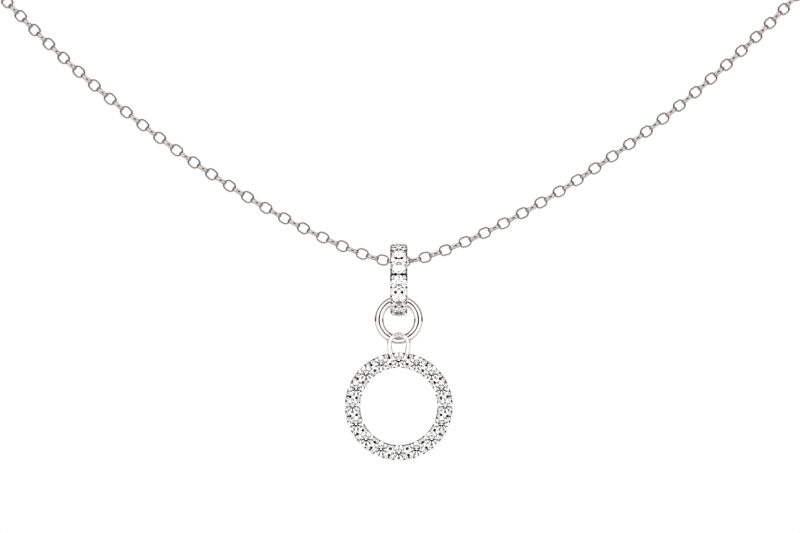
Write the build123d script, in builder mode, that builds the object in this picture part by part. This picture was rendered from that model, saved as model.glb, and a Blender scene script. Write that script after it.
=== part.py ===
from build123d import *
import math
import os

# Round-stone pendant on a cable chain, in its worn form, in millimetres.
# +Z is up and the front faces -Y. The origin is the middle of the clasp, at the nape.

# Cable chain: oval links of flat wire, turned a quarter from one to the next
link_length = 1.95
link_width = 1.40
link_wire = 0.18            # thickness of the wire, in the link's own plane
link_wire_width = 0.50      # its width, across that plane
link_wire_flat = 0.30       # flat part of the width, between two blunt edges
link_play = 0.25            # free gap between two hooked links
link_sides = 10
front_link_pairs = 50       # links on each side of the bail that are modelled one by one

# Clasp: a plain barrel with an eye at each end
clasp_length = 7.0
clasp_diameter = 2.2
clasp_edge = 0.6
clasp_eye_outer = 2.0
clasp_eye_wire = 0.5
clasp_chain_gap = 0.15      # between an eye and the end of the chain

# Round brilliant stones
stone_diameter = 1.92
stone_table_share = 0.57    # table across its corners over the stone's diameter
stone_crown_angle = 33.0
stone_star_angle = 20.0
stone_break_angle = 40.5
stone_girdle = 0.05
stone_pavilion_angle = 39.5
stone_lower_angle = 41.0
stone_tip_relief = 0.005    # the long facets stop this short of the girdle's corners
stone_gap = 0.03            # between a stone and its seat
seat_hole = 0.80            # hole behind each stone
seat_flare_angle = 25.0     # slope of the bright cut round each stone, from the metal's face

# Hoop bail, in the plane across the chain
bail_outer = 8.76
bail_inner = 6.56
bail_width = 2.15
bail_inner_bevel = 0.52
bail_stones = 7
bail_stone_pitch = 30.0     # degrees
bail_middle_angle = -6.0    # middle stone, degrees above the viewer's level
bail_girdle_depth = 0.18    # top of the girdle under the outer face
bail_chain_gap = 0.355      # between the chain and the top of the hoop

# Beads that hold the stones, four to each, and the pockets between them
bead_diameter = 0.50
bead_side = 0.66            # from the middle of the row to a bead
bead_along = 0.32           # from the middle of a gap between stones to a bead
bead_inner_diameter = 0.42  # on the inside of the circle, where the gaps are narrower
bead_inner_along = 0.24
bead_proud = 0.10           # top of a bead over the metal's face
bead_root = 0.45            # length of a bead under the metal's face
bead_rounding = 0.8         # share of a bead's radius that its dome takes
pocket_diameter = 0.36
pocket_side = 0.40
pocket_depth = 0.55

# Rims: a steep bevel along the edges of both bands, and a small notch where a seat ends at a rim
rim_width = 0.15            # seen from the front
rim_depth = 0.21
notch_diameter = 0.26
notch_depth = 0.25
notch_inset = 0.11          # from the edge of the band to the middle of a notch
inner_notch_inset = 0.04    # the same on the inside of the circle, where the metal is narrow
bail_notch_along = 0.50     # along the row, from the middle of a stone
circle_outer_notch_along = 0.69
circle_inner_notch_along = 0.50

# Jump ring, facing the viewer
ring_outer = 6.00
ring_wire = 1.08
ring_bail_gap = 0.10        # between the ring and the hoop's inner bevels

# Open circle
circle_outer = 13.46
circle_inner = 9.68
circle_depth = 1.70
circle_back_edge = 0.25     # rounding of its edges at the back
circle_stones = 16
circle_girdle_depth = 0.12
circle_drop = 1.62          # from the middle of the ring's wire to the top of the circle

# Loop that is soldered to the top of the circle: an arch in front of the jump ring,
# the same arch behind it, and a saddle that joins their tops over the ring's wire
loop_width = 2.90
loop_wire = 0.54
loop_corner = 1.15          # radius of an arch's corners along the middle of the wire
loop_narrowing = 0.18       # how much nearer its feet are on each side than its widest place
loop_knee_share = 0.46      # height of the widest place as a share of the arch's length
loop_knee = 1.6             # radius of the bend there
loop_rise = 0.57            # middle of an arch over the middle of the ring's wire
loop_spread = 1.16          # middle of an arch's top from the ring's plane
loop_foot = 0.58            # middle of its feet from the ring's plane
saddle_width = 0.60
saddle_thickness = 0.20
saddle_gap = 0.12           # between the saddle and the ring's wire
saddle_corner = 0.30
saddle_edge = 0.06          # rounding of its long edges
foot_sink = 0.30            # how far the feet run into the circle

route_arc_share = 0.45      # share of a straight run that the arc at each of its ends takes

# The chain's route, from the middle of the front to the clasp, right half.
# The left half is its mirror image.
chain_route = [
    (0.0, -118.5, -98.84),
    (5.5, -118.3, -97.30),
    (14.0, -117.7, -93.35),
    (24.0, -116.5, -87.30),
    (34.5, -114.4, -79.63),
    (45.0, -111.0, -70.30),
    (54.2, -104.6, -60.50),
    (60.2, -94.0, -50.60),
    (63.4, -80.2, -41.00),
    (64.2, -64.8, -31.80),
    (62.4, -49.2, -23.20),
    (57.6, -34.2, -15.80),
    (49.8, -21.2, -9.60),
    (39.4, -10.8, -4.80),
    (26.6, -3.8, -1.70),
    (14.2, -0.4, -0.40),
    (clasp_length / 2 + clasp_eye_outer - clasp_eye_wire + clasp_chain_gap, 0.0, 0.0),
]

os.makedirs("parts", exist_ok=True)

# Worked out from the values above
link_pitch = link_length - 2 * link_wire - link_play
stone_radius = stone_diameter / 2
table_radius = stone_table_share * stone_radius
crown_height = (stone_radius - table_radius) * math.tan(math.radians(stone_crown_angle))
pavilion_depth = stone_radius * math.tan(math.radians(stone_pavilion_angle))
bail_radius = bail_outer / 2
bail_hole_radius = bail_inner / 2
circle_row_radius = (circle_outer + circle_inner) / 4
ring_radius = (ring_outer - ring_wire) / 2
ring_hole_radius = ring_outer / 2 - ring_wire
ring_rest = math.sqrt((ring_hole_radius - ring_bail_gap) ** 2 - (bail_width / 2 - bail_inner_bevel) ** 2)


def corner_radii(points):
    """The largest arcs that the runs of an open route allow, one for each inner corner."""
    radii = []
    for before, here, after in zip(points, points[1:], points[2:]):
        run_in = Vector(*here) - Vector(*before)
        run_out = Vector(*after) - Vector(*here)
        half_turn = math.radians(run_in.get_angle(run_out)) / 2
        radii.append(route_arc_share * min(run_in.length, run_out.length) / math.tan(half_turn))
    return radii


# The whole route, from the clasp's left eye past the bail to its right eye
left_half = [(-x, y, z) for x, y, z in reversed(chain_route[1:])]
whole_route = left_half + chain_route
route_radii = corner_radii(whole_route)
with BuildLine() as route:
    FilletPolyline(*whole_route, radius=route_radii)
route_wire = route.wire()
route_length = route_wire.length

# Places of what hangs on the chain, from the top down
hang_point = route_wire.position_at(route_length / 2, position_mode=PositionMode.LENGTH)
front_y = hang_point.Y
bail_z = hang_point.Z + link_width / 2 + bail_chain_gap - bail_hole_radius
ring_z = bail_z - bail_hole_radius - ring_rest
ring_bottom_z = ring_z - ring_radius
circle_top_z = ring_bottom_z - circle_drop
circle_z = circle_top_z - circle_outer / 2
circle_face_y = front_y - circle_depth / 2


# Chain

with BuildPart() as link:
    with BuildLine(Plane.XY) as link_line:
        flat = math.cos(math.pi / link_sides)
        along = (link_length - link_wire) / 2 / flat
        across = (link_width - link_wire) / 2
        turns = [2 * math.pi * (side + 0.5) / link_sides for side in range(link_sides)]
        Polyline(*[(along * math.cos(turn), across * math.sin(turn)) for turn in turns], close=True)
    first_side = link_line.edges()[0]
    with BuildSketch(Plane(origin=first_side @ 0.5, x_dir=(0, 0, 1), z_dir=first_side % 0.5)) as link_section:
        with BuildLine():
            Polyline(
                (link_wire_width / 2, 0),
                (link_wire_flat / 2, link_wire / 2),
                (-link_wire_flat / 2, link_wire / 2),
                (-link_wire_width / 2, 0),
                (-link_wire_flat / 2, -link_wire / 2),
                (link_wire_flat / 2, -link_wire / 2),
                close=True,
            )
        make_face()
    sweep(sections=link_section.sketch, path=link_line.line, transition=Transition.RIGHT)


def link_place(number):
    """Plane of a link, numbered from the middle of the front, where every other one faces forward."""
    distance = route_length / 2 + (number + 0.5) * link_pitch
    centre = route_wire.position_at(distance, position_mode=PositionMode.LENGTH)
    ahead = route_wire.tangent_at(distance, position_mode=PositionMode.LENGTH)
    forward = Vector(0, -1, 0)
    facing = (forward - ahead * forward.dot(ahead)).normalized()
    if number % 2:
        facing = facing.cross(ahead)
    return Plane(origin=centre, x_dir=ahead, z_dir=facing)


with BuildPart() as chain_front:
    places = [link_place(number) for number in range(-front_link_pairs, front_link_pairs)]
    with Locations(*places):
        add(link.part)
chain_front.part.label = "chain_front"
export_step(chain_front.part, "parts/chain_front.step")

# Tubes that stand for the links of the hidden stretch, one on each side of the clasp
tube_start = (front_link_pairs - 0.5) * link_pitch + link_length / 2 + link_play
front_share = tube_start / route_length
right_tube = route_wire.trim(0.5 + front_share, 1.0)
left_tube = route_wire.trim(0.0, 0.5 - front_share)
with BuildPart() as chain_back:
    for path in (left_tube, right_tube):
        with BuildSketch(Plane(origin=path @ 0, z_dir=path % 0)) as tube_section:
            Circle(link_width / 2)
        sweep(sections=tube_section.sketch, path=path)
tube_volume = math.pi * (link_width / 2) ** 2 * (left_tube.length + right_tube.length)
print("chain length", round(route_length, 2), "smallest arc", round(min(route_radii), 2))
print("tube volume over section times length", round(chain_back.part.volume / tube_volume, 5))
chain_back.part.label = "chain_back"
export_step(chain_back.part, "parts/chain_back.step")

# Clasp
with BuildPart() as clasp:
    with BuildSketch(Plane.YZ.offset(-clasp_length / 2)):
        Circle(clasp_diameter / 2)
    extrude(amount=clasp_length)
    fillet(clasp.edges().filter_by(GeomType.CIRCLE), clasp_edge)
    eye_reach = (clasp_length + clasp_eye_outer) / 2 - clasp_eye_wire
    with Locations((-eye_reach, 0, 0), (eye_reach, 0, 0)):
        Torus((clasp_eye_outer - clasp_eye_wire) / 2, clasp_eye_wire / 2)
clasp.part.label = "clasp"
export_step(clasp.part, "parts/clasp.step")


# Stones, and what their settings share

def keep_under(height, radius, azimuth, slope, side):
    """Cuts a facet: side is 1 on the crown and -1 on the pavilion."""
    turn = math.radians(azimuth)
    lean = math.radians(slope)
    outward = Vector(math.cos(turn), math.sin(turn), 0)
    facet = Plane(origin=outward * radius + Vector(0, 0, height),
                  z_dir=outward * math.sin(lean) + Vector(0, 0, side * math.cos(lean)))
    split(bisect_by=facet, keep=Keep.BOTTOM)


# The top of the girdle is the stone's own zero height
with BuildPart() as brilliant:
    with BuildSketch(Plane.XY.offset(-stone_girdle - pavilion_depth)):
        RegularPolygon(stone_radius, 16)
    extrude(amount=pavilion_depth + stone_girdle + crown_height)
    side_radius = stone_radius * math.cos(math.pi / 16)
    star_radius = table_radius * math.cos(math.pi / 8)
    for eighth in range(8):
        keep_under(0, stone_radius + stone_tip_relief, 45 * eighth, stone_crown_angle, 1)
        keep_under(crown_height, star_radius, 45 * eighth + 22.5, stone_star_angle, 1)
        keep_under(-stone_girdle, stone_radius + stone_tip_relief, 45 * eighth, stone_pavilion_angle, -1)
    for sixteenth in range(16):
        keep_under(0, side_radius, 22.5 * sixteenth + 11.25, stone_break_angle, 1)
        keep_under(-stone_girdle, side_radius, 22.5 * sixteenth + 11.25, stone_lower_angle, -1)

# Room that is cut for each stone above its girdle, with its bright cut, before the beads are raised
with BuildPart() as seat_mouth:
    with BuildSketch(Plane.XZ):
        with BuildLine():
            flare_height = max(bail_girdle_depth, circle_girdle_depth) + stone_gap
            flare_reach = flare_height / math.tan(math.radians(seat_flare_angle))
            Polyline(
                (0, flare_height),
                (stone_radius + stone_gap + flare_reach, flare_height),
                (stone_radius + stone_gap, 0),
                (stone_radius + stone_gap, -stone_girdle),
                (0, -stone_girdle),
                close=True,
            )
        make_face()
    revolve(axis=Axis.Z)

# Room for the stone itself, which the beads reach over, with the hole behind it
with BuildPart() as stone_room:
    with BuildSketch(Plane.XZ):
        with BuildLine():
            slope_reach = stone_radius + stone_gap - seat_hole / 2
            hole_top = -stone_girdle - slope_reach * math.tan(math.radians(stone_pavilion_angle))
            Polyline(
                (0, crown_height + stone_gap),
                (table_radius + stone_gap, crown_height + stone_gap),
                (stone_radius + stone_gap, stone_gap),
                (stone_radius + stone_gap, -stone_girdle),
                (seat_hole / 2, hole_top),
                (seat_hole / 2, -circle_depth - bail_outer / 2 + bail_inner / 2),
                (0, -circle_depth - bail_outer / 2 + bail_inner / 2),
                close=True,
            )
        make_face()
    revolve(axis=Axis.Z)

# Bead, with the metal's face at its own zero height
with BuildPart() as bead:
    with BuildSketch(Plane.XY.offset(-bead_root)):
        Circle(bead_diameter / 2)
    extrude(amount=bead_root + bead_proud)
    fillet(bead.faces().sort_by(Axis.Z)[-1].edges(), bead_rounding * bead_diameter / 2)

with BuildPart() as bead_inner:
    with BuildSketch(Plane.XY.offset(-bead_root)):
        Circle(bead_inner_diameter / 2)
    extrude(amount=bead_root + bead_proud)
    fillet(bead_inner.faces().sort_by(Axis.Z)[-1].edges(), bead_rounding * bead_inner_diameter / 2)

with BuildPart() as pocket:
    with BuildSketch(Plane.XY.offset(-pocket_depth)):
        Circle(pocket_diameter / 2)
    extrude(amount=pocket_depth + bead_proud)

with BuildPart() as notch:
    with BuildSketch(Plane.XY.offset(-notch_depth)):
        Circle(notch_diameter / 2)
    extrude(amount=notch_depth + bead_proud)


def shifted(place, across, along):
    """The same plane, moved across and along its row."""
    origin = place.origin + place.x_dir * across + place.y_dir * along
    return Plane(origin=origin, x_dir=place.x_dir, z_dir=place.z_dir)


# Bail

def bail_place(angle, radius):
    """Plane across the hoop at an angle above the viewer's level: x across the row, z outward."""
    turn = math.radians(angle)
    outward = Vector(0, -math.cos(turn), math.sin(turn))
    return Plane(origin=Vector(0, front_y, bail_z) + outward * radius, x_dir=(1, 0, 0), z_dir=outward)


def bead_place(gap, side, along):
    """Place of a bead beside a gap, with the seam of its dome towards the middle of the row."""
    place = shifted(gap, side * bead_side, along)
    return Plane(origin=place.origin, x_dir=place.x_dir * -side, z_dir=place.z_dir)


first_angle = bail_middle_angle - bail_stone_pitch * (bail_stones - 1) / 2
bail_angles = [first_angle + bail_stone_pitch * number for number in range(bail_stones)]
bail_seats = [bail_place(angle, bail_radius - bail_girdle_depth) for angle in bail_angles]
gap_angles = [first_angle + bail_stone_pitch * (number - 0.5) for number in range(bail_stones + 1)]
bail_gaps = [bail_place(angle, bail_radius) for angle in gap_angles]
bail_beads = [bead_place(gap, side, bead_along) for gap in bail_gaps[:-1] for side in (-1, 1)]
bail_beads += [bead_place(gap, side, -bead_along) for gap in bail_gaps[1:] for side in (-1, 1)]
bail_pockets = [shifted(gap, side * pocket_side, 0) for gap in bail_gaps for side in (-1, 1)]
bail_faces = [bail_place(angle, bail_radius) for angle in bail_angles]
bail_notches = [
    shifted(face, side * (bail_width / 2 - notch_inset), way * bail_notch_along)
    for face in bail_faces for side in (-1, 1) for way in (-1, 1)
]

with BuildPart() as bail:
    with BuildSketch(Plane(origin=(0, front_y, bail_z))):
        with BuildLine():
            Polyline(
                (bail_width / 2 - rim_width, bail_radius),
                (bail_width / 2, bail_radius - rim_depth),
                (bail_width / 2, bail_hole_radius + bail_inner_bevel),
                (bail_width / 2 - bail_inner_bevel, bail_hole_radius),
                (bail_inner_bevel - bail_width / 2, bail_hole_radius),
                (-bail_width / 2, bail_hole_radius + bail_inner_bevel),
                (-bail_width / 2, bail_radius - rim_depth),
                (rim_width - bail_width / 2, bail_radius),
                close=True,
            )
        make_face()
    revolve(axis=Axis((0, front_y, bail_z), (1, 0, 0)))
    with Locations(*bail_seats):
        add(seat_mouth.part, mode=Mode.SUBTRACT)
    with Locations(*bail_pockets):
        add(pocket.part, mode=Mode.SUBTRACT)
    with Locations(*bail_notches):
        add(notch.part, mode=Mode.SUBTRACT)
    with Locations(*bail_beads):
        add(bead.part)
    with Locations(*bail_seats):
        add(stone_room.part, mode=Mode.SUBTRACT)
bail.part.label = "bail"
export_step(bail.part, "parts/bail.step")

for number, seat in enumerate(bail_seats, start=1):
    with BuildPart() as bail_stone:
        with Locations(seat):
            add(brilliant.part)
    bail_stone.part.label = f"bail_stone_{number:02d}"
    export_step(bail_stone.part, f"parts/bail_stone_{number:02d}.step")

# Jump ring
with BuildPart(Plane(origin=(0, front_y, ring_z), z_dir=(0, -1, 0))) as jump_ring:
    Torus(ring_radius, ring_wire / 2)
jump_ring.part.label = "jump_ring"
export_step(jump_ring.part, "parts/jump_ring.step")


# Circle

def circle_place(angle, radius, depth):
    """Plane on the circle's face, clockwise from the top: x outward across the row, z to the viewer."""
    turn = math.radians(angle)
    outward = Vector(math.sin(turn), 0, math.cos(turn))
    origin = Vector(0, circle_face_y + depth, circle_z) + outward * radius
    return Plane(origin=origin, x_dir=outward, z_dir=(0, -1, 0))


circle_pitch = 360 / circle_stones
circle_angles = [circle_pitch * number for number in range(circle_stones)]
circle_seats = [circle_place(angle, circle_row_radius, circle_girdle_depth) for angle in circle_angles]
circle_gaps = [circle_place(angle + circle_pitch / 2, circle_row_radius, 0) for angle in circle_angles]
outer_beads = [shifted(gap, bead_side, way * bead_along) for gap in circle_gaps for way in (-1, 1)]
inner_beads = [shifted(gap, -bead_side, way * bead_inner_along) for gap in circle_gaps for way in (-1, 1)]
circle_pockets = [shifted(gap, side * pocket_side, 0) for gap in circle_gaps for side in (-1, 1)]
circle_faces = [circle_place(angle, circle_row_radius, 0) for angle in circle_angles]
circle_notches = []
for way in (-1, 1):
    for radius, inset, along in (
        (circle_outer / 2, notch_inset, circle_outer_notch_along),
        (circle_inner / 2, -inner_notch_inset, circle_inner_notch_along),
    ):
        across = math.sqrt((radius - inset) ** 2 - along ** 2) - circle_row_radius
        circle_notches += [shifted(face, across, way * along) for face in circle_faces]

foot_z = circle_top_z - foot_sink
arch_z = ring_bottom_z + loop_rise
arch_half_width = (loop_width - loop_wire) / 2
saddle_reach = ring_wire / 2 + saddle_gap + saddle_thickness / 2

with BuildPart() as circle:
    with BuildSketch(Plane(origin=(0, circle_face_y, circle_z), x_dir=(0, 0, -1), z_dir=(-1, 0, 0))):
        with BuildLine():
            Polyline(
                (circle_outer / 2 - rim_width, 0),
                (circle_outer / 2, -rim_depth),
                (circle_outer / 2, -circle_depth),
                (circle_inner / 2, -circle_depth),
                (circle_inner / 2, -rim_depth),
                (circle_inner / 2 + rim_width, 0),
                close=True,
            )
        make_face()
    revolve(axis=Axis((0, circle_face_y, circle_z), (0, 1, 0)))
    fillet(circle.edges().filter_by(GeomType.CIRCLE).sort_by(Axis.Y)[-2:], circle_back_edge)
    for side in (-1, 1):
        lean = Vector(0, side * (loop_spread - loop_foot), arch_z - foot_z)
        arch_plane = Plane(origin=(0, front_y + side * loop_foot, foot_z), x_dir=(1, 0, 0),
                           z_dir=Vector(1, 0, 0).cross(lean))
        knee_height = loop_knee_share * lean.length
        foot_half_width = arch_half_width - loop_narrowing
        with BuildLine(arch_plane) as arch_line:
            FilletPolyline(
                (-foot_half_width, 0), (-arch_half_width, knee_height), (-arch_half_width, lean.length),
                (arch_half_width, lean.length), (arch_half_width, knee_height), (foot_half_width, 0),
                radius=[loop_knee, loop_corner, loop_corner, loop_knee],
            )
        arch_path = arch_line.wire()
        with BuildSketch(Plane(origin=arch_path @ 0, z_dir=arch_path % 0)) as arch_section:
            Circle(loop_wire / 2)
        sweep(sections=arch_section.sketch, path=arch_path)
    with BuildLine(Plane(origin=(0, front_y, ring_bottom_z), x_dir=(0, 1, 0), z_dir=(1, 0, 0))) as saddle_line:
        FilletPolyline(
            (-loop_spread, loop_rise), (-saddle_reach, saddle_reach),
            (saddle_reach, saddle_reach), (loop_spread, loop_rise), radius=saddle_corner,
        )
    saddle_path = saddle_line.wire()
    with BuildSketch(Plane(origin=saddle_path @ 0, x_dir=(1, 0, 0), z_dir=saddle_path % 0)) as saddle_section:
        RectangleRounded(saddle_width, saddle_thickness, saddle_edge)
    sweep(sections=saddle_section.sketch, path=saddle_path)
    with Locations(*circle_seats):
        add(seat_mouth.part, mode=Mode.SUBTRACT)
    with Locations(*circle_pockets):
        add(pocket.part, mode=Mode.SUBTRACT)
    with Locations(*circle_notches):
        add(notch.part, mode=Mode.SUBTRACT)
    with Locations(*outer_beads):
        add(bead.part)
    with Locations(*inner_beads):
        add(bead_inner.part)
    with Locations(*circle_seats):
        add(stone_room.part, mode=Mode.SUBTRACT)
circle.part.label = "circle"
export_step(circle.part, "parts/circle.step")

for number, seat in enumerate(circle_seats, start=1):
    with BuildPart() as circle_stone:
        with Locations(seat):
            add(brilliant.part)
    circle_stone.part.label = f"circle_stone_{number:02d}"
    export_step(circle_stone.part, f"parts/circle_stone_{number:02d}.step")
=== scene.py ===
"""Dresses a round-stone pendant on its cable chain and lights it in a white studio."""

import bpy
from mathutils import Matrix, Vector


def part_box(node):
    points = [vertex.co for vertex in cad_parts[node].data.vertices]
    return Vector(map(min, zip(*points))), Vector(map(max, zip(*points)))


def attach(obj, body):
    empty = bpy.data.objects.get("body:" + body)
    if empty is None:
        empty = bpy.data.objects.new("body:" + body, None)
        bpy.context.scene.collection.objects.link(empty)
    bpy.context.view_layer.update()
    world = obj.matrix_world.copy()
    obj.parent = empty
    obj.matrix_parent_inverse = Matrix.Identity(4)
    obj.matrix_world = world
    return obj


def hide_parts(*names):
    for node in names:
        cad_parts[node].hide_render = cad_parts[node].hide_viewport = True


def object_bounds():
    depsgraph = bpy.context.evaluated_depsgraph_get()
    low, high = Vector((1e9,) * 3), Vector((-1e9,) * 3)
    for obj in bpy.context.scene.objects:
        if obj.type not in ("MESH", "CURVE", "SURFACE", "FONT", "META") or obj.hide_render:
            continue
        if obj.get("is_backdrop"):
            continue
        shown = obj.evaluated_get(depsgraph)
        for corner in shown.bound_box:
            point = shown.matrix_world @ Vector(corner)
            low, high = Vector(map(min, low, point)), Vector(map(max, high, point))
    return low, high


bl_info = {
    "name": "Stone-Set Pendant",
    "version": (1, 0, 0),
    "blender": (4, 5, 0),
    "location": "3D View > Sidebar > Pendant",
    "description": "Makes the chain, bail, ring, circle and stones of a pendant, and its studio",
    "category": "Object",
}

import math
import random

import bmesh
import bpy
from mathutils import Matrix, Vector

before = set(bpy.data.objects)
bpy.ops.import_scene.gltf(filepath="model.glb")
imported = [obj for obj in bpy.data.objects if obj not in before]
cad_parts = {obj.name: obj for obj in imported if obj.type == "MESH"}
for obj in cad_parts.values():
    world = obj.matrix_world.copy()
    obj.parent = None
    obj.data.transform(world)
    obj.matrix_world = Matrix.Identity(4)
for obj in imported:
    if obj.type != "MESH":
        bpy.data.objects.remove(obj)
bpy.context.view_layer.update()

MM = 0.001
CAD_SEAM = 0.0002 * MM    # doubled corners of a CAD mesh lie closer than this
SPIN_SEAM = 0.001 * MM    # and so do those where a full turn closes
CAST_CREASE = math.radians(28)    # steeper edges stay sharp on the cast pieces
LINK_CREASE = math.radians(60)    # and on the links

# The chain's route from the middle of the front to the clasp, right half, in metres.
# The left half is its mirror image.
CHAIN_ROUTE = [
    (0.0, -0.1185, -0.09884),
    (0.0055, -0.1183, -0.09730),
    (0.0140, -0.1177, -0.09335),
    (0.0240, -0.1165, -0.08730),
    (0.0345, -0.1144, -0.07963),
    (0.0450, -0.1110, -0.07030),
    (0.0542, -0.1046, -0.06050),
    (0.0602, -0.0940, -0.05060),
    (0.0634, -0.0802, -0.04100),
    (0.0642, -0.0648, -0.03180),
    (0.0624, -0.0492, -0.02320),
    (0.0576, -0.0342, -0.01580),
    (0.0498, -0.0212, -0.00960),
    (0.0394, -0.0108, -0.00480),
    (0.0266, -0.0038, -0.00170),
    (0.0142, -0.0004, -0.00040),
    (0.00515, 0.0, 0.0),
]


# Sizes and settings

class ChainSizes(bpy.types.PropertyGroup):
    """Sizes of the cable chain."""
    link_width: bpy.props.FloatProperty(
        name="Link width", description="Outside width of a link", default=1.40 * MM, unit="LENGTH")
    link_wire: bpy.props.FloatProperty(
        name="Wire", description="Thickness of the flat wire in the link's plane", default=0.18 * MM,
        unit="LENGTH")
    wire_width: bpy.props.FloatProperty(
        name="Wire width", description="Width of the flat wire across the link's plane",
        default=0.50 * MM, unit="LENGTH")
    wire_flat: bpy.props.FloatProperty(
        name="Wire flat", description="Flat part of that width", default=0.30 * MM, unit="LENGTH")
    link_sides: bpy.props.IntProperty(
        name="Link sides", description="Stretches of wire round a link", default=14, min=10, max=16)
    front_pairs: bpy.props.IntProperty(
        name="Front links", description="Links on each side of the bail in the front stretch", default=50)
    half_links: bpy.props.IntProperty(
        name="Links each side", description="Links from the middle of the front to the clasp", default=167)
    play: bpy.props.FloatProperty(
        name="Play", description="How far a link may turn about the chain's line by chance",
        default=math.radians(5), subtype="ANGLE")


class BailSizes(bpy.types.PropertyGroup):
    """Sizes of the hoop bail and of the painted shade in the recesses between its stones."""
    outer: bpy.props.FloatProperty(
        name="Outside", description="Outside diameter of the hoop", default=8.76 * MM, unit="LENGTH")
    centre_z: bpy.props.FloatProperty(
        name="Middle Z", description="Height of the hoop's middle", default=-100.712 * MM, unit="LENGTH")
    middle_angle: bpy.props.FloatProperty(
        name="Middle stone", description="Angle of the middle stone above the viewer's level",
        default=math.radians(-6), subtype="ANGLE")
    pitch: bpy.props.FloatProperty(
        name="Pitch", description="Angle from stone to stone", default=math.radians(30), subtype="ANGLE")
    pocket_side: bpy.props.FloatProperty(
        name="Pocket", description="From the middle of the row to a pocket", default=0.40 * MM,
        unit="LENGTH")
    pocket_radius: bpy.props.FloatProperty(
        name="Pocket radius", description="Reach of the shade in a pocket", default=0.20 * MM, unit="LENGTH")
    pocket_depth: bpy.props.FloatProperty(
        name="Pocket depth", description="Depth of a pocket's floor", default=0.60 * MM, unit="LENGTH")
    notch_side: bpy.props.FloatProperty(
        name="Notch", description="From the middle of the row to a rim notch", default=0.965 * MM,
        unit="LENGTH")
    notch_along: bpy.props.FloatProperty(
        name="Notch along", description="From a stone's middle to its notches, along the row",
        default=0.50 * MM, unit="LENGTH")
    notch_radius: bpy.props.FloatProperty(
        name="Notch radius", description="Reach of the shade in a notch", default=0.15 * MM, unit="LENGTH")
    notch_depth: bpy.props.FloatProperty(
        name="Notch depth", description="Depth of a notch's floor", default=0.30 * MM, unit="LENGTH")
    wall_blur: bpy.props.FloatProperty(
        name="Wall blur", description="Soft edge of the shade at a wall", default=0.03 * MM, unit="LENGTH")
    floor_blur: bpy.props.FloatProperty(
        name="Floor blur", description="Soft edge of the shade at a floor", default=0.04 * MM, unit="LENGTH")


class RingSizes(bpy.types.PropertyGroup):
    """Sizes of the jump ring."""
    outer: bpy.props.FloatProperty(
        name="Outside", description="Outside diameter of the ring", default=6.00 * MM, unit="LENGTH")
    wire: bpy.props.FloatProperty(
        name="Wire", description="Diameter of the ring's wire", default=1.08 * MM, unit="LENGTH")
    wire_sides: bpy.props.IntProperty(
        name="Wire sides", description="Sides of the wire's section", default=28, min=8)
    ring_steps: bpy.props.IntProperty(
        name="Ring steps", description="Stretches of wire round the ring", default=96, min=16)


class FinishSettings(bpy.types.PropertyGroup):
    """Colours, painted shade and polish."""
    metal: bpy.props.FloatVectorProperty(
        name="White gold", description="Colour of the polished metal", default=(0.88, 0.87, 0.86),
        subtype="COLOR", size=3, min=0.0, max=1.0)
    # Painted shade: the chain's white gold is a darker copy of the cast parts' metal, standing in for the
    # shade and dark reflections on its links.
    shaded_chain_metal: bpy.props.FloatVectorProperty(
        name="Chain", description="Colour of the chain's drawn wire, darker than the cast parts",
        default=(0.50, 0.47, 0.455), subtype="COLOR", size=3, min=0.0, max=1.0)
    # Painted shade: near-black colour put deep in the bail's pockets and rim notches, where shade falls.
    shade: bpy.props.FloatVectorProperty(
        name="Shade", description="Colour deep in the drilled recesses of the bail",
        default=(0.035, 0.031, 0.029), subtype="COLOR", size=3, min=0.0, max=1.0)
    polish: bpy.props.FloatProperty(
        name="Roughness", description="Mean roughness of the polished metal", default=0.06, min=0.0, max=1.0)


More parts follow.
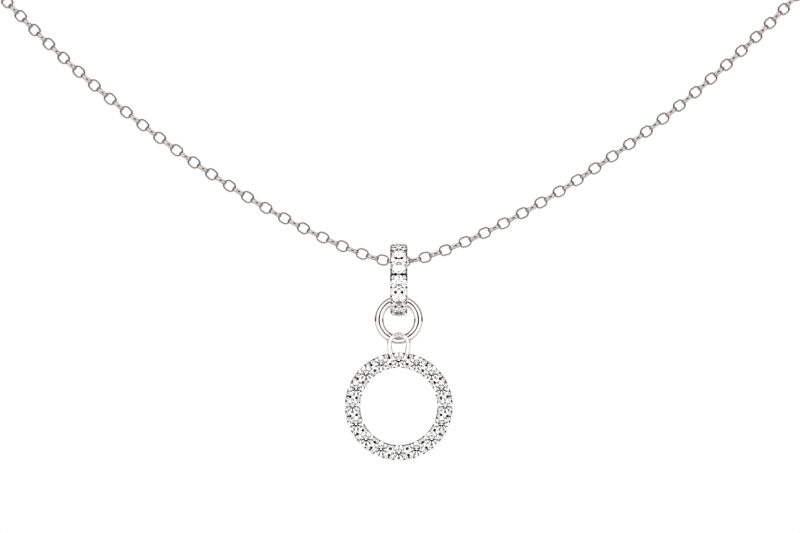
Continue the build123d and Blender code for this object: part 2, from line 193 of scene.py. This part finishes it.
class StudioSettings(bpy.types.PropertyGroup):
    """Camera, floor and light."""
    frame_width: bpy.props.FloatProperty(
        name="Frame width", description="Width of the picture at the pendant", default=100 * MM,
        unit="LENGTH")
    distance: bpy.props.FloatProperty(
        name="Distance", description="From the camera to the pendant", default=2.5, unit="LENGTH")
    centre_x: bpy.props.FloatProperty(
        name="Middle X", description="Middle of the picture", default=0.15 * MM, unit="LENGTH")
    centre_z: bpy.props.FloatProperty(
        name="Middle Z", description="Middle of the picture", default=-99.05 * MM, unit="LENGTH")
    floor_drop: bpy.props.FloatProperty(
        name="Floor", description="From the lowest point of the pendant down to the floor",
        default=70 * MM, unit="LENGTH")
    floor_radius: bpy.props.FloatProperty(
        name="Floor radius", description="Radius of the floor", default=1.5, unit="LENGTH")
    # Edge of the painted light on the floor, which only mirrored light sees.
    painted_light_border: bpy.props.FloatProperty(
        name="Tone border", description="How far in front of the pendant the floor's mirrored white ends",
        default=35 * MM, unit="LENGTH")
    paper: bpy.props.FloatVectorProperty(
        name="Paper", description="Colour of the floor", default=(0.62, 0.60, 0.59),
        subtype="COLOR", size=3, min=0.0, max=1.0)
    front_light: bpy.props.FloatProperty(
        name="Front light", description="Brightness of the front in mirrored light", default=1.4, min=0.0)
    stone_light: bpy.props.FloatProperty(
        name="Stone light", description="Brightness of the front for light passing through the stones",
        default=3.2, min=0.0)
    floor_light: bpy.props.FloatProperty(
        name="Floor light", description="Brightness of the even light on the floor", default=1.25, min=0.0)
    rear: bpy.props.FloatVectorProperty(
        name="Rear", description="Colour of the room behind the pendant", default=(0.36, 0.325, 0.305),
        subtype="COLOR", size=3, min=0.0, max=1.0)
    rear_strip: bpy.props.FloatVectorProperty(
        name="Rear strip", description="Colour of the level strip across the rear",
        default=(0.02, 0.017, 0.016), subtype="COLOR", size=3, min=0.0, max=1.0)
    gap: bpy.props.FloatVectorProperty(
        name="Gap", description="Colour of the gap behind the camera", default=(0.008, 0.007, 0.006),
        subtype="COLOR", size=3, min=0.0, max=1.0)
    gap_width: bpy.props.FloatProperty(
        name="Gap width", description="Sine of the angle from the gap's middle to its sides", default=0.36)
    gap_height: bpy.props.FloatProperty(
        name="Gap height", description="Sine of the angle from the gap's middle to its top", default=0.50)


# Shader nodes

class Wire:
    """One output of a shader node. Sums and products of wires add Math nodes."""

    def __init__(self, tree, socket):
        self.tree = tree
        self.socket = socket

    @classmethod
    def node(cls, tree, kind, settings=None, inputs=None, output=0):
        """Adds a node of any type: its settings first, then the values or wires of its inputs."""
        made = tree.nodes.new(kind)
        for name, value in (settings or {}).items():
            setattr(made, name, value)
        for name, value in (inputs or {}).items():
            if isinstance(value, Wire):
                tree.links.new(value.socket, made.inputs[name])
            else:
                made.inputs[name].default_value = value
        return cls(tree, made.outputs[output]) if made.outputs else made

    def math(self, operation, *values):
        return Wire.node(self.tree, "ShaderNodeMath", {"operation": operation}, dict(enumerate(values)))

    def __add__(self, other):
        return self.math("ADD", self, other)

    def __radd__(self, other):
        return self.math("ADD", other, self)

    def __sub__(self, other):
        return self.math("SUBTRACT", self, other)

    def __rsub__(self, other):
        return self.math("SUBTRACT", other, self)

    def __mul__(self, other):
        return self.math("MULTIPLY", self, other)

    def __rmul__(self, other):
        return self.math("MULTIPLY", other, self)

    def __truediv__(self, other):
        return self.math("DIVIDE", self, other)

    def __neg__(self):
        return self.math("MULTIPLY", self, -1.0)

    def root(self):
        return self.math("SQRT", self)

    def size(self):
        return self.math("ABSOLUTE", self)

    def ease(self, low, high):
        """0 up to low, 1 from high on, and smooth between them."""
        return Wire.node(
            self.tree, "ShaderNodeMapRange", {"interpolation_type": "SMOOTHSTEP"},
            {"Value": self, "From Min": low, "From Max": high, "To Min": 0.0, "To Max": 1.0})

    def within(self, limit, blur):
        """1 until this comes within the blur of the limit, and 0 from the limit on."""
        return 1 - self.ease(limit - blur, limit)

    def mix(self, first, second):
        """A colour between first, at 0, and second, at 1."""
        return Wire.node(
            self.tree, "ShaderNodeMix", {"data_type": "RGBA"}, {0: self, 6: first, 7: second}, output=2)


def rgba(colour):
    return (*colour, 1.0)


def white(brightness):
    return (brightness, brightness, brightness, 1.0)


# Finishes

def new_tree(name):
    """An empty material, its node tree and its object coordinates."""
    material = bpy.data.materials.new(name)
    material.use_nodes = True
    material.node_tree.nodes.clear()
    place = Wire.node(material.node_tree, "ShaderNodeTexCoord", output=3)
    return material, material.node_tree, place


def noise(place, grain, detail=2.0):
    """Soft noise whose lumps are about one grain across, in metres."""
    return Wire.node(
        place.tree, "ShaderNodeTexNoise", {},
        {"Vector": place, "Scale": 1.0 / grain, "Detail": detail, "Roughness": 0.5})


def finish_surface(tree, shader):
    Wire.node(tree, "ShaderNodeOutputMaterial", {}, {"Surface": shader})


def bail_recess_shade(place):
    """Mask of the painted shade: 1 deep in the bail's pockets and rim notches, 0 on its faces."""
    sizes = bpy.context.scene.pendant_bail
    split = Wire.node(place.tree, "ShaderNodeSeparateXYZ", {}, {0: place}).socket.node
    x, y, z = (Wire(place.tree, split.outputs[axis]) for axis in range(3))
    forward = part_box("bail")[1].y - sizes.outer / 2 - y
    upward = z - sizes.centre_z
    reach = (forward * forward + upward * upward).root()
    angle = upward.math("ARCTAN2", upward, forward) - sizes.middle_angle
    half_pitch = sizes.pitch / 2
    from_stone = reach * angle.math("WRAP", angle, half_pitch, -half_pitch)
    from_gap = reach * angle.math("WRAP", angle + half_pitch, half_pitch, -half_pitch)
    pocket_aside = x.size() - sizes.pocket_side
    pocket = (from_gap * from_gap + pocket_aside * pocket_aside).root()
    notch_aside = x.size() - sizes.notch_side
    notch_off = from_stone.size() - sizes.notch_along
    notch = (notch_off * notch_off + notch_aside * notch_aside).root()
    depth = sizes.outer / 2 - reach
    in_pocket = pocket.within(sizes.pocket_radius, sizes.wall_blur)
    in_pocket = in_pocket * depth.within(sizes.pocket_depth, sizes.floor_blur)
    in_notch = notch.within(sizes.notch_radius, sizes.wall_blur)
    in_notch = in_notch * depth.within(sizes.notch_depth, sizes.floor_blur)
    under_face = depth.ease(0.01 * MM, 0.08 * MM)
    return in_pocket.math("MAXIMUM", in_pocket, in_notch) * under_face


def polished_metal(name, colour, recesses=None):
    """White gold under rhodium: mirror-bright, with faint buffing marks and a slight drift of tone."""
    finish = bpy.context.scene.pendant_finish
    material, tree, place = new_tree(name)
    drift = noise(place, 1.6 * MM).ease(0.35, 0.65)
    marks = noise(place, 0.35 * MM, detail=4.0).ease(0.3, 0.7)
    shade = drift.mix(rgba(colour), rgba([0.965 * channel for channel in colour]))
    # Painted shade: where a recess mask is given, a near-black colour is mixed into the metal deep in the
    # pockets and notches.
    if recesses:
        shade = recesses(place).mix(shade, rgba(finish.shade))
    bump = Wire.node(
        tree, "ShaderNodeBump", {},
        {"Strength": 0.05, "Distance": 0.004 * MM, "Height": marks})
    shader = Wire.node(
        tree, "ShaderNodeBsdfPrincipled", {},
        {"Base Color": shade, "Metallic": 1.0, "Roughness": finish.polish * (0.8 + 0.4 * marks),
         "Normal": bump})
    finish_surface(tree, shader)
    return material


def cut_diamond(name):
    """Colourless brilliant, with the faintest veil of inclusions."""
    material, tree, place = new_tree(name)
    veil = noise(place, 0.4 * MM).ease(0.55, 0.8)
    shade = veil.mix((1.0, 1.0, 1.0, 1.0), (0.975, 0.98, 0.985, 1.0))
    shader = Wire.node(
        tree, "ShaderNodeBsdfPrincipled", {},
        {"Base Color": shade, "Roughness": 0.0, "IOR": 2.417, "Transmission Weight": 1.0})
    finish_surface(tree, shader)
    return material


def made_material(name):
    """The finished material of that name, made when it is first asked for."""
    if name in bpy.data.materials:
        return bpy.data.materials[name]
    finish = bpy.context.scene.pendant_finish
    if name == "diamond_cut":
        return cut_diamond(name)
    # Painted shade: the chain takes the darker copy of the white gold.
    if name == "white_gold_chain":
        return polished_metal(name, finish.shaded_chain_metal)
    # Painted shade: the bail's metal is darkened deep in its pockets and rim notches.
    if name == "white_gold_bail":
        return polished_metal(name, finish.metal, recesses=bail_recess_shade)
    return polished_metal(name, finish.metal)


# Pieces

def metal_piece(name, mesh, body, material, node):
    """Puts a finished mesh into the scene as a piece that rides on a body and replaces a CAD node."""
    piece = bpy.data.objects.new(name, mesh)
    bpy.context.scene.collection.objects.link(piece)
    mesh.materials.append(made_material(material))
    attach(piece, body)
    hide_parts(node)
    return piece


def mesh_of(shape, name):
    mesh = bpy.data.meshes.new(name)
    shape.to_mesh(mesh)
    shape.free()
    return mesh


def smooth_faces(shape, crease):
    """Smooths a shape up to its creases."""
    for face in shape.faces:
        face.smooth = True
    for edge in shape.edges:
        edge.smooth = edge.is_manifold and edge.calc_face_angle() < crease


def smooth_copy(node, name):
    """A copy of a CAD node's mesh with its doubles merged, smooth up to its creases."""
    shape = bmesh.new()
    shape.from_mesh(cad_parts[node].data)
    bmesh.ops.remove_doubles(shape, verts=shape.verts, dist=CAD_SEAM)
    bmesh.ops.recalc_face_normals(shape, faces=shape.faces)
    smooth_faces(shape, CAST_CREASE)
    return mesh_of(shape, name)


def cast_piece(node, name, body, material):
    """Replaces a cast CAD piece by a smooth copy whose flat faces stay flat beside the round ones."""
    piece = metal_piece(name, smooth_copy(node, name), body, material, node)
    weighted = piece.modifiers.new("weighted_normals", "WEIGHTED_NORMAL")
    weighted.keep_sharp = True


# Chain

def route_points():
    """Points along the whole route, from the left eye of the clasp past the bail to the right eye."""
    left = [(-x, y, z) for x, y, z in reversed(CHAIN_ROUTE[1:])]
    line = bpy.data.curves.new("chain_route", "CURVE")
    line.dimensions = "3D"
    line.resolution_u = 48
    spline = line.splines.new("NURBS")
    whole = left + CHAIN_ROUTE
    spline.points.add(len(whole) - 1)
    for point, place in zip(spline.points, whole):
        point.co = (*place, 1.0)
    spline.order_u = 3
    spline.use_endpoint_u = True
    carrier = bpy.data.objects.new("chain_route", line)
    bpy.context.scene.collection.objects.link(carrier)
    mesh = bpy.data.meshes.new_from_object(carrier)
    points = [vertex.co.copy() for vertex in mesh.vertices]
    bpy.data.objects.remove(carrier)
    bpy.data.meshes.remove(mesh)
    bpy.data.curves.remove(line)
    return points


def places_along(points, distances):
    """The place and direction at each distance along a line of points. The distances rise."""
    found = []
    passed = 0.0
    runs = iter(zip(points, points[1:]))
    start, end = next(runs)
    for distance in distances:
        while distance > passed + (end - start).length:
            passed += (end - start).length
            step = next(runs, None)
            if step is None:
                break
            start, end = step
        ahead = (end - start).normalized()
        found.append((start + ahead * (distance - passed), ahead))
    return found


def link_shape(sizes, length):
    """An oval link in its own plane, long along X, of flat wire with blunt edges."""
    shape = bmesh.new()
    half_wire = sizes.link_wire / 2
    reach = sizes.link_width / 2 - half_wire
    half_flat = sizes.wire_flat / 2
    outline = (
        (0, sizes.wire_width / 2), (half_wire, half_flat), (half_wire, -half_flat),
        (0, -sizes.wire_width / 2), (-half_wire, -half_flat), (-half_wire, half_flat),
    )
    start = Matrix.Rotation(math.pi / sizes.link_sides, 3, "Z")
    corners = [shape.verts.new(start @ Vector((reach + outward, 0, across))) for outward, across in outline]
    for corner, following in zip(corners, corners[1:] + corners[:1]):
        shape.edges.new((corner, following))
    bmesh.ops.spin(
        shape, geom=list(shape.verts) + list(shape.edges), cent=(0, 0, 0), axis=(0, 0, 1),
        angle=2 * math.pi, steps=sizes.link_sides, use_merge=True)
    bmesh.ops.remove_doubles(shape, verts=shape.verts, dist=SPIN_SEAM)
    stretch = (length - sizes.link_width) / 2
    for vertex in shape.verts:
        vertex.co.x += math.copysign(stretch, vertex.co.x)
    bmesh.ops.recalc_face_normals(shape, faces=shape.faces)
    smooth_faces(shape, LINK_CREASE)
    return mesh_of(shape, "link")


def end_twist(facing, ahead, quarter):
    """Turn about the chain's line that stands a last link upright, across the flat eye of the clasp."""
    side = facing.cross(ahead)
    up = side if quarter else facing
    turned = up.cross(ahead)
    upright = Vector((0, -1, 0))
    twist = math.atan2(upright.dot(turned), upright.dot(up))
    return (twist + math.pi / 2) % math.pi - math.pi / 2


def link_matrices(sizes):
    """Matrix of each link, from the clasp's left eye to its right eye, and the pitch of the links."""
    points = route_points()
    length = sum((after - before).length for before, after in zip(points, points[1:]))
    pitch = length / (2 * sizes.half_links - 1)
    places = places_along(points, [min(pitch * number, length) for number in range(2 * sizes.half_links)])
    middle = sizes.half_links
    facings = {}
    for way in (1, -1):
        number = middle if way == 1 else middle - 1
        facing = None
        before = None
        while 0 <= number < len(places):
            ahead = places[number][1]
            if abs(number - middle) <= sizes.front_pairs:
                facing = Vector((0, -1, 0))
            else:
                facing = before.rotation_difference(ahead) @ facing
            facing = (facing - ahead * facing.dot(ahead)).normalized()
            facings[number] = facing
            before = ahead
            number += way
    twists = [end_twist(facings[number], places[number][1], (number - middle) % 2)
              for number in (0, len(places) - 1)]
    chance = random.Random(7)
    matrices = []
    for number, (place, ahead) in enumerate(places):
        side = facings[number].cross(ahead)
        behind = max(0, abs(number - middle) - sizes.front_pairs) / (sizes.half_links - sizes.front_pairs)
        turn = behind * twists[number > middle] + (1 - behind) * chance.uniform(-sizes.play, sizes.play)
        if (number - middle) % 2:
            turn += math.pi / 2
        up = facings[number] * math.cos(turn) + side * math.sin(turn)
        across = up.cross(ahead)
        matrices.append(Matrix.Translation(place) @ Matrix((ahead, across, up)).transposed().to_4x4())
    return matrices, pitch


class PENDANT_OT_chain(bpy.types.Operator):
    """Lays the oval links along the chain's route, front and back"""
    bl_idname = "pendant.make_chain"
    bl_label = "Make Chain"

    def execute(self, context):
        sizes = context.scene.pendant_chain
        matrices, pitch = link_matrices(sizes)
        link = link_shape(sizes, pitch + 2 * sizes.link_wire)
        front = range(sizes.half_links - sizes.front_pairs, sizes.half_links + sizes.front_pairs)
        stretches = {
            "chain_front": [matrix for number, matrix in enumerate(matrices) if number in front],
            "chain_back": [matrix for number, matrix in enumerate(matrices) if number not in front],
        }
        for node, group in stretches.items():
            shape = bmesh.new()
            for matrix in group:
                first = len(shape.verts)
                shape.from_mesh(link)
                shape.verts.ensure_lookup_table()
                bmesh.ops.transform(shape, matrix=matrix, verts=shape.verts[first:])
            mesh = mesh_of(shape, f"{node}_links")
            if not mesh.polygons:
                raise RuntimeError(f"{node} has no links")
            metal_piece(mesh.name, mesh, "necklace", "white_gold_chain", node)
        bpy.data.meshes.remove(link)
        return {"FINISHED"}


# Clasp, bail, ring, circle and stones

class PENDANT_OT_clasp(bpy.types.Operator):
    """Makes the plain barrel clasp at the nape"""
    bl_idname = "pendant.make_clasp"
    bl_label = "Make Clasp"

    def execute(self, context):
        cast_piece("clasp", "clasp_barrel", "necklace", "white_gold_cast")
        return {"FINISHED"}


class PENDANT_OT_bail(bpy.types.Operator):
    """Makes the hoop bail with its bead-set seats"""
    bl_idname = "pendant.make_bail"
    bl_label = "Make Bail"

    def execute(self, context):
        cast_piece("bail", "bail_hoop", "bail", "white_gold_bail")
        return {"FINISHED"}


class PENDANT_OT_ring(bpy.types.Operator):
    """Makes the plain round jump ring"""
    bl_idname = "pendant.make_ring"
    bl_label = "Make Jump Ring"

    def execute(self, context):
        sizes = context.scene.pendant_ring
        low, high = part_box("jump_ring")
        middle = (low + high) / 2
        shape = bmesh.new()
        section = bmesh.ops.create_circle(
            shape, segments=sizes.wire_sides, radius=sizes.wire / 2,
            matrix=Matrix.Translation(((sizes.outer - sizes.wire) / 2, 0, 0)))
        bmesh.ops.spin(
            shape, geom=section["verts"] + list(shape.edges), cent=(0, 0, 0), axis=(0, 1, 0),
            angle=2 * math.pi, steps=sizes.ring_steps, use_merge=True)
        bmesh.ops.remove_doubles(shape, verts=shape.verts, dist=SPIN_SEAM)
        bmesh.ops.recalc_face_normals(shape, faces=shape.faces)
        bmesh.ops.translate(shape, verts=shape.verts, vec=middle)
        for face in shape.faces:
            face.smooth = True
        mesh = mesh_of(shape, "jump_ring_wire")
        metal_piece(mesh.name, mesh, "jump_ring", "white_gold_cast", "jump_ring")
        return {"FINISHED"}


class PENDANT_OT_circle(bpy.types.Operator):
    """Makes the open circle with its seats, beads and soldered loop"""
    bl_idname = "pendant.make_circle"
    bl_label = "Make Circle"

    def execute(self, context):
        cast_piece("circle", "circle_band", "circle", "white_gold_cast")
        return {"FINISHED"}


class PENDANT_OT_stones(bpy.types.Operator):
    """Gives every stone its diamond finish"""
    bl_idname = "pendant.finish_stones"
    bl_label = "Finish Stones"

    def execute(self, context):
        stones = [node for name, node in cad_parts.items() if "_stone_" in name]
        if not stones:
            raise RuntimeError("the frame has no stones")
        for stone in stones:
            for place in stone.material_slots:
                place.link = "OBJECT"
                place.material = made_material("diamond_cut")
        return {"FINISHED"}


# Studio

def studio_light(world):
    """White all round the viewer, a narrow dark gap behind the camera, and a dim rear half.

    Light that passes through the stones finds a brighter front, and the floor is lit evenly.
    """
    settings = bpy.context.scene.pendant_studio
    world.use_nodes = True
    tree = world.node_tree
    tree.nodes.clear()
    direction = Wire.node(tree, "ShaderNodeTexCoord", output=0)
    split = Wire.node(tree, "ShaderNodeSeparateXYZ", {}, {0: direction}).socket.node
    x, y, z = (Wire(tree, split.outputs[axis]) for axis in range(3))
    path = Wire.node(tree, "ShaderNodeLightPath").socket.node
    camera_ray, diffuse_ray, passing_ray = (
        Wire(tree, path.outputs[f"Is {kind} Ray"]) for kind in ("Camera", "Diffuse", "Transmission"))
    in_front = (-y).ease(0.08, 0.32)
    strip = z.size().within(0.13, 0.06)
    rear_light = strip.mix(rgba(settings.rear), rgba(settings.rear_strip))
    front_light = passing_ray.mix(white(settings.front_light), white(settings.stone_light))
    room = in_front.mix(rear_light, front_light)
    gap = x.math("MAXIMUM", x.size() / settings.gap_width, z.size() / settings.gap_height)
    gap_mask = gap.within(1.08, 0.20) * (-y).ease(0.0, 0.1)
    mirrored = gap_mask.mix(room, rgba(settings.gap))
    fallen = diffuse_ray.mix(mirrored, white(settings.floor_light))
    shown = camera_ray.mix(fallen, white(1.0))
    light = Wire.node(tree, "ShaderNodeBackground", {}, {"Color": shown, "Strength": 1.0})
    Wire.node(tree, "ShaderNodeOutputWorld", {}, {"Surface": light})


def floor_paper(name, front_y):
    """Pale paper with a painted pool of light: mirrored light finds it white in front of the pendant."""
    settings = bpy.context.scene.pendant_studio
    material, tree, place = new_tree(name)
    y = Wire.node(tree, "ShaderNodeSeparateXYZ", {}, {0: place}, output=1)
    border_y = front_y - settings.painted_light_border
    behind = y.ease(border_y - settings.painted_light_border, border_y)
    grain = noise(place, 40 * MM).ease(0.3, 0.7)
    paper = grain.mix(rgba(settings.paper), rgba([0.975 * channel for channel in settings.paper]))
    # Painted light: rays other than the camera's see the floor white in front of the pendant, and the camera
    # sees plain paper.
    mirrored = behind.mix(white(0.95), paper)
    tone = Wire.node(tree, "ShaderNodeLightPath", output=0).mix(mirrored, paper)
    shader = Wire.node(tree, "ShaderNodeBsdfPrincipled", {}, {"Base Color": tone, "Roughness": 0.9})
    finish_surface(tree, shader)
    return material


class PENDANT_OT_studio(bpy.types.Operator):
    """Adds the pale floor, the light and the camera"""
    bl_idname = "pendant.make_studio"
    bl_label = "Make Studio"

    def execute(self, context):
        settings = context.scene.pendant_studio
        front_y = (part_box("jump_ring")[0].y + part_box("jump_ring")[1].y) / 2
        floor_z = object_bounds()[0].z - settings.floor_drop
        shape = bmesh.new()
        bmesh.ops.create_circle(
            shape, cap_ends=True, segments=96, radius=settings.floor_radius,
            matrix=Matrix.Translation((0, front_y / 2, floor_z)))
        floor = bpy.data.objects.new("floor", mesh_of(shape, "floor"))
        context.scene.collection.objects.link(floor)
        floor.data.materials.append(floor_paper("floor_paper", front_y))
        floor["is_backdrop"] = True

        context.scene.world = bpy.data.worlds.new("studio")
        studio_light(context.scene.world)

        lens = bpy.data.cameras.new("camera")
        lens.sensor_width = 36.0
        lens.lens = lens.sensor_width * settings.distance / settings.frame_width
        lens.clip_start = 0.1
        lens.clip_end = 20.0
        camera = bpy.data.objects.new("camera", lens)
        camera.location = (settings.centre_x, front_y - settings.distance, settings.centre_z)
        camera.rotation_euler = (math.pi / 2, 0, 0)
        context.scene.collection.objects.link(camera)
        context.scene.camera = camera
        context.scene.view_settings.view_transform = "Standard"
        return {"FINISHED"}


# Panel and registration

class PENDANT_PT_panel(bpy.types.Panel):
    """Sizes, finishes and the steps that make the pendant"""
    bl_idname = "PENDANT_PT_panel"
    bl_label = "Pendant"
    bl_space_type = "VIEW_3D"
    bl_region_type = "UI"
    bl_category = "Pendant"

    def draw(self, context):
        for name in SETTINGS:
            box = self.layout.box()
            group = getattr(context.scene, name)
            box.label(text=name.replace("_", " ").title())
            for key in group.__annotations__:
                box.prop(group, key)
        for operator in OPERATORS:
            self.layout.operator(operator.bl_idname)


SETTINGS = {
    "pendant_chain": ChainSizes,
    "pendant_bail": BailSizes,
    "pendant_ring": RingSizes,
    "pendant_finish": FinishSettings,
    "pendant_studio": StudioSettings,
}

OPERATORS = (
    PENDANT_OT_studio,
    PENDANT_OT_chain,
    PENDANT_OT_clasp,
    PENDANT_OT_bail,
    PENDANT_OT_ring,
    PENDANT_OT_circle,
    PENDANT_OT_stones,
)


def register():
    for group in SETTINGS.values():
        bpy.utils.register_class(group)
    for operator in OPERATORS:
        bpy.utils.register_class(operator)
    bpy.utils.register_class(PENDANT_PT_panel)
    for name, group in SETTINGS.items():
        setattr(bpy.types.Scene, name, bpy.props.PointerProperty(type=group))


def unregister():
    for name in SETTINGS:
        delattr(bpy.types.Scene, name)
    bpy.utils.unregister_class(PENDANT_PT_panel)
    for operator in reversed(OPERATORS):
        bpy.utils.unregister_class(operator)
    for group in reversed(list(SETTINGS.values())):
        bpy.utils.unregister_class(group)


def main():
    register()
    bpy.ops.pendant.make_studio()
    bpy.ops.pendant.make_chain()
    bpy.ops.pendant.make_clasp()
    bpy.ops.pendant.make_bail()
    bpy.ops.pendant.make_ring()
    bpy.ops.pendant.make_circle()
    bpy.ops.pendant.finish_stones()


if __name__ == "__main__":
    main()
